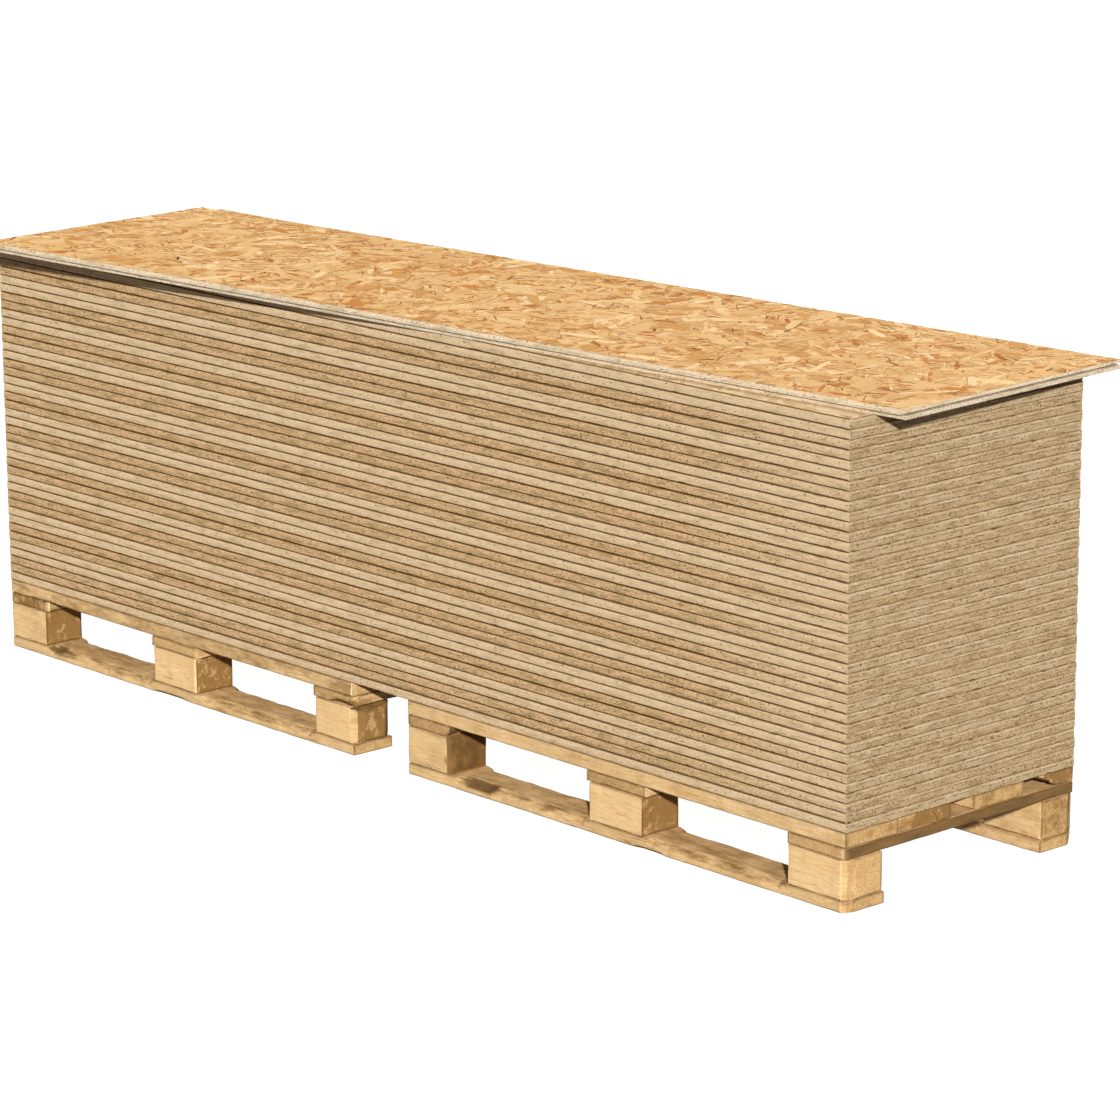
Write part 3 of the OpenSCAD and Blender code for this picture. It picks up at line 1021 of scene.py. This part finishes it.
# Worn and waney edges of each node: which solid from the front, the two faces, their sizes in mm,
# and where they are given the stretch along an axis in mm (or None) and how the wood looks there
WEAR = {
    "right_pallet_cross_board_left": (
        (0, "bottom", "right", 34, 13, (1, -30, 130), "bark_and_shade"),
        (0, "top", "right", 14, 6, (1, -30, 60)),
    ),
    "right_pallet_blocks_left": (
        (0, "right", "front", 13, 15, None, "bark_and_shade"),
        (0, "right", "top", 12, 9, None, "bark_and_shade"),
    ),
    "right_pallet_runner_front": (
        (0, "front", "top", 34, 15, (0, 150, 250), "bark_and_shade"),
        (0, "front", "bottom", 5, 5, (0, 640, 720), "bark_and_shade"),
    ),
    "right_pallet_deck_boards": (
        (3, "front", "bottom", 42, 17, (0, 1080, 1250), "bark_and_shade"),
        (1, "right", "front", 14, 100),
        (2, "bottom", "front", 5, 8, (0, 900, 1250), "fresh"),
    ),
    "right_pallet_cross_board_right": (
        (0, "right", "front", 9, 10, None, "fresh"),
        (0, "left", "front", 7, 9),
        (0, "left", "top", 6, 7),
    ),
    "right_pallet_cross_board_middle": ((0, "front", "bottom", 4, 5),),
    "right_pallet_blocks_right": (
        (0, "left", "front", 5, 6),
        (0, "left", "bottom", 7, 6),
        (1, "front", "right", 5, 6),
    ),
    "left_pallet_cross_board_left": ((0, "right", "front", 8, 10, None, "fresh"),),
    "left_pallet_cross_board_middle": (
        (0, "front", "top", 5, 6, (0, 60, 190)),
        (0, "right", "front", 18, 12),
    ),
    "left_pallet_cross_board_right": (
        (0, "front", "bottom", 8, 12, (0, 60, 190), "bark_and_shade"),
        (0, "right", "front", 12, 16),
    ),
    "left_pallet_blocks_middle": (
        (0, "right", "front", 7, 8),
        (0, "right", "top", 10, 12),
    ),
    "left_pallet_blocks_right": (
        (0, "right", "top", 14, 14, None, "bark_and_shade"),
        (0, "right", "back", 8, 14, None, "bark_and_shade"),
    ),
    "left_pallet_deck_boards": (
        (0, "front", "right", 5, 8, None, "fresh"),
        (0, "front", "bottom", 4, 4, (0, 60, 240), "bark_and_shade"),
    ),
    "left_pallet_runner_front": (
        (0, "front", "top", 24, 13, (0, 135, 215), "bark_and_shade"),
        (0, "front", "bottom", 5, 5, (0, 500, 620), "bark_and_shade"),
    ),
    "right_pallet_runner_back": ((0, "back", "bottom", 10, 8, (0, 1000, 1250)),),
}


def wear(node, solid, timber):
    for which, first, second, size1, size2, *more in WEAR.get(node, ()):
        if which != solid:
            continue
        stretch, look = (more + [None, None])[:2]
        axis, start, end = stretch or (0, 0, 0)
        within = (start * MM, end * MM) if stretch else None
        timber.bevel(first, second, size1 * MM, size2 * MM, within=within, axis=axis, look=look, wobble=0.35)


def age(node, solid, timber, roughness, softness):
    """Worn edges, dents and rounding, in that order."""
    wear(node, solid, timber)
    # Paints one whole side the bark colour; on one block that is painted shade
    if node in BARK_AND_SHADE_SIDES:
        timber.paint_bark_and_shade_side(BARK_AND_SHADE_SIDES[node])
    timber.rough(roughness * MM)
    timber.soften(softness * MM)
    return timber


seed = 500
for pallet in PALLETS:
    block_boxes = [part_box(f"{pallet}_blocks_{place}") for place in PLACES]
    for row in ("front", "back"):
        node = f"{pallet}_runner_{row}"
        low, high = solid_boxes(node)[0]
        seed += 1
        t = Timber(low, high, "x", seed)
        if pallet == "right_pallet":
            t.bevel(row, "right", CORNER_CUT_Y, CORNER_CUT_X, wobble=0.05)
        for before, after in zip(block_boxes, block_boxes[1:]):
            bay = (before[1].x - low[0] + 12 * MM, after[0].x - low[0] - 12 * MM)
            for face in ("front", "back"):
                t.bevel(face, "top", SLOPE_W, SLOPE_H, within=bay, wobble=0.12, ramp=12 * MM)
        join(node, [age(node, 0, t, 0.7, 2.2)], [RUNNER_STAIN])
    for place in PLACES:
        node = f"{pallet}_blocks_{place}"
        timbers = []
        for solid, (low, high) in enumerate(solid_boxes(node)):
            seed += 1
            t = Timber(low, high, "x", seed, 9 * MM)
            outer = "front" if solid == 0 else "back"
            if node == "right_pallet_blocks_right":
                t.bevel(outer, "right", CORNER_CUT_Y, CORNER_CUT_X, wobble=0.05)
            elif place == "right":
                t.bevel(outer, "right", INNER_CUT_Y, INNER_CUT_X, wobble=0.05)
            timbers.append(age(node, solid, t, 0.8, 3))
        front_stain_and_shade = LEFT_BLOCK_STAIN_AND_SHADE if place == "left" else BLOCK_STAIN_AND_SHADE
        if node == "right_pallet_blocks_right":
            front_stain_and_shade = END_BLOCK_STAIN
        join(node, timbers, [front_stain_and_shade, BACK_BLOCK_STAIN])
        node = f"{pallet}_cross_board_{place}"
        low, high = solid_boxes(node)[0]
        seed += 1
        stain_and_shade = CROSS_STAIN
        if node in DARK_CROSS_BOARDS:
            stain_and_shade = DARK_CROSS_STAIN
        elif node in PALE_CROSS_BOARDS:
            stain_and_shade = PALE_CROSS_STAIN
        join(node, [age(node, 0, Timber(low, high, "y", seed), 0.9, 2.5)], [stain_and_shade])
    node = f"{pallet}_deck_boards"
    timbers = []
    for solid, (low, high) in enumerate(solid_boxes(node)):
        seed += 1
        timbers.append(age(node, solid, Timber(low, high, "x", seed), 0.8, 2))
    join(node, timbers, (FRONT_DECK_STAINS[pallet],) + OTHER_DECK_STAINS_AND_SHADE)


# ---------------------------------------------------------------- floor, light and camera

floor_mesh = bpy.data.meshes.new("floor")
floor_mesh.from_pydata([(-40, -40, 0), (40, -40, 0), (40, 40, 0), (-40, 40, 0)], [], [(0, 1, 2, 3)])
floor = put_in_scene("floor", floor_mesh)
paper = Shader("studio_floor")
paper.surface.inputs["Emission Color"].default_value = grey(1.0)
paper.surface.inputs["Emission Strength"].default_value = 0.98
floor_mesh.materials.append(paper.finish(grey(0.2), 0.9))
# The floor lights nothing, so the shadows on the stack stay deep
floor.visible_diffuse = False

world = bpy.data.worlds.new("studio")
world.use_nodes = True
sky = world.node_tree.nodes["Background"]
sky.inputs["Color"].default_value = (1.0, 1.0, 1.0, 1.0)
sky.inputs["Strength"].default_value = 0.2
bpy.context.scene.world = world


def add_sun(name, direction, energy, spread):
    """A distant light; direction points from the object towards it, and spread is its width in degrees."""
    data = bpy.data.lights.new(name, "SUN")
    data.energy = energy
    data.angle = math.radians(spread)
    light = put_in_scene(name, data)
    x, y, z = direction
    light.rotation_euler = (math.atan2(math.hypot(x, y), z), 0, math.atan2(y, x) + math.pi / 2)


add_sun("key", (0.71, -0.59, 0.375), 5.2, 2.5)
add_sun("back_fill", (-0.5, 0.6, 0.62), 2.2, 25)

CAMERA_AT = (6.2160, -5.4949, 2.4359)
AZIMUTH = 47.764
ELEVATION = 13.965
ROLL = -0.331
LENS = 139.1
camera_data = bpy.data.cameras.new("camera")
camera_data.lens = LENS
camera_data.sensor_width = 36
camera = put_in_scene("camera", camera_data)
camera.matrix_world = (
    Matrix.Translation(CAMERA_AT)
    @ Matrix.Rotation(math.radians(AZIMUTH), 4, "Z")
    @ Matrix.Rotation(math.radians(90 - ELEVATION), 4, "X")
    @ Matrix.Rotation(math.radians(ROLL), 4, "Z")
)
bpy.context.scene.camera = camera
bpy.context.scene.view_settings.view_transform = "Standard"
